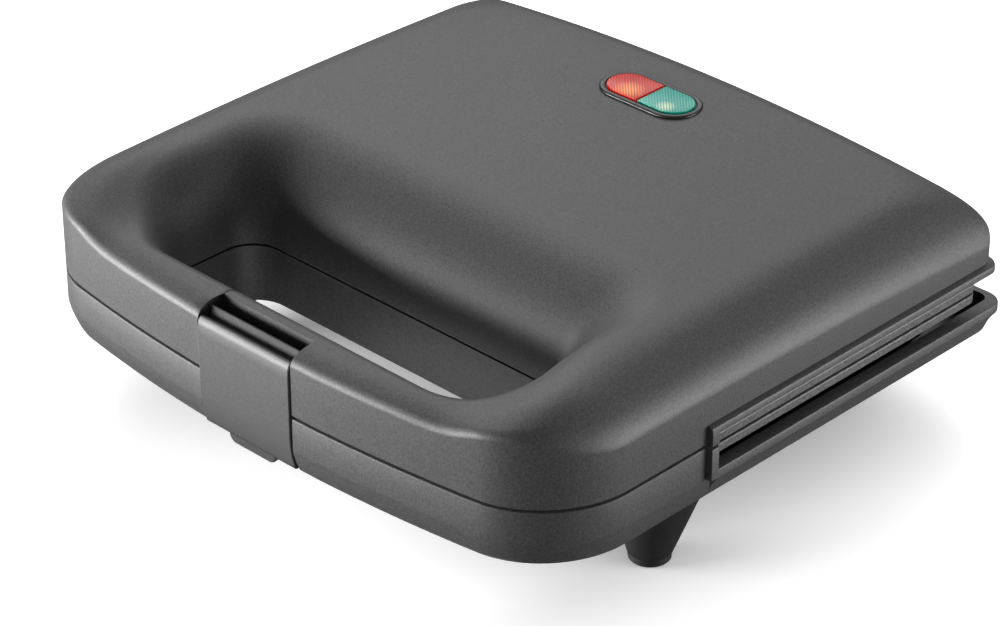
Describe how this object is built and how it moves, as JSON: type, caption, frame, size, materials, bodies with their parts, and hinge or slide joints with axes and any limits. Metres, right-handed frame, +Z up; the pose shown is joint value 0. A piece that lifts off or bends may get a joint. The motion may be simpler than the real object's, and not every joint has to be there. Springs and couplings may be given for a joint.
{
  "type": "sandwich_toaster",
  "caption": "Closed sandwich toaster with a scooped hinged lid, handle hole, front latch, ribbed red and green lenses and conical feet",
  "frame": {"origin": "bottom centre of the closed toaster, on the plane its rubber pads stand on", "axes": "x points right along the hinge of the lid, y from the handle at the front to the hinge at the rear, z up"},
  "size_m": [0.2378, 0.2178, 0.086],
  "materials": {
    "housing": "charcoal moulded plastic with a fine texture",
    "inner_plastic": "dark heat-resistant moulded plastic",
    "latch_plastic": "charcoal plastic, satin",
    "bezel_plastic": "glossy black plastic",
    "pad_rubber": "black rubber",
    "nonstick": "cast aluminium with a black non-stick coating",
    "tube": "heat-darkened steel tube",
    "sheet": "thin bright aluminium sheet",
    "steel": "zinc-plated steel",
    "ceramic": "off-white insulating material",
    "brass": "brass",
    "lead": "red silicone sleeve",
    "red_lens": "translucent red, ribbed",
    "green_lens": "translucent green, ribbed",
    "lamp_glass": "clear glass with a warm filament"
  },
  "bodies": {
    "base": {"base_shell": "housing", "base_handle_cover": "inner_plastic", "feet": "inner_plastic", "foot_pads": "pad_rubber", "lower_plate": "nonstick", "lower_heater": "tube", "lower_reflector": "sheet", "lower_plate_screws": "steel", "base_hinge_ears": "inner_plastic", "hinge_pins": "steel", "terminal_block": "ceramic", "earth_tag": "brass", "bottom_cover": "inner_plastic", "base_screws": "steel", "base_wiring": "lead", "catch": "housing"},
    "lid": {"lid_shell": "housing", "lid_handle_cover": "inner_plastic", "lid_hinge_arms": "inner_plastic", "upper_plate": "nonstick", "upper_heater": "tube", "upper_reflector": "sheet", "upper_plate_screws": "steel", "thermostat": "ceramic", "thermal_fuse": "steel", "lamp_holder": "ceramic", "lamps": "lamp_glass", "lamp_bezel": "bezel_plastic", "red_lens": "red_lens", "green_lens": "green_lens", "lid_screws": "steel", "lid_wiring": "lead", "latch_pin": "steel"},
    "latch": {"latch": "latch_plastic"}
  },
  "joints": [
    {"name": "lid_hinge", "type": "hinge", "parent": "base", "child": "lid", "pos_m": [0, 0.09795, 0.048], "axis": [-1, 0, 0], "range_deg": [0, 95]},
    {"name": "latch_hinge", "type": "hinge", "parent": "lid", "child": "latch", "pos_m": [-0.0035, -0.10255, 0.0642], "axis": [-1, 0, 0], "range_deg": [0, 80]}
  ]
}
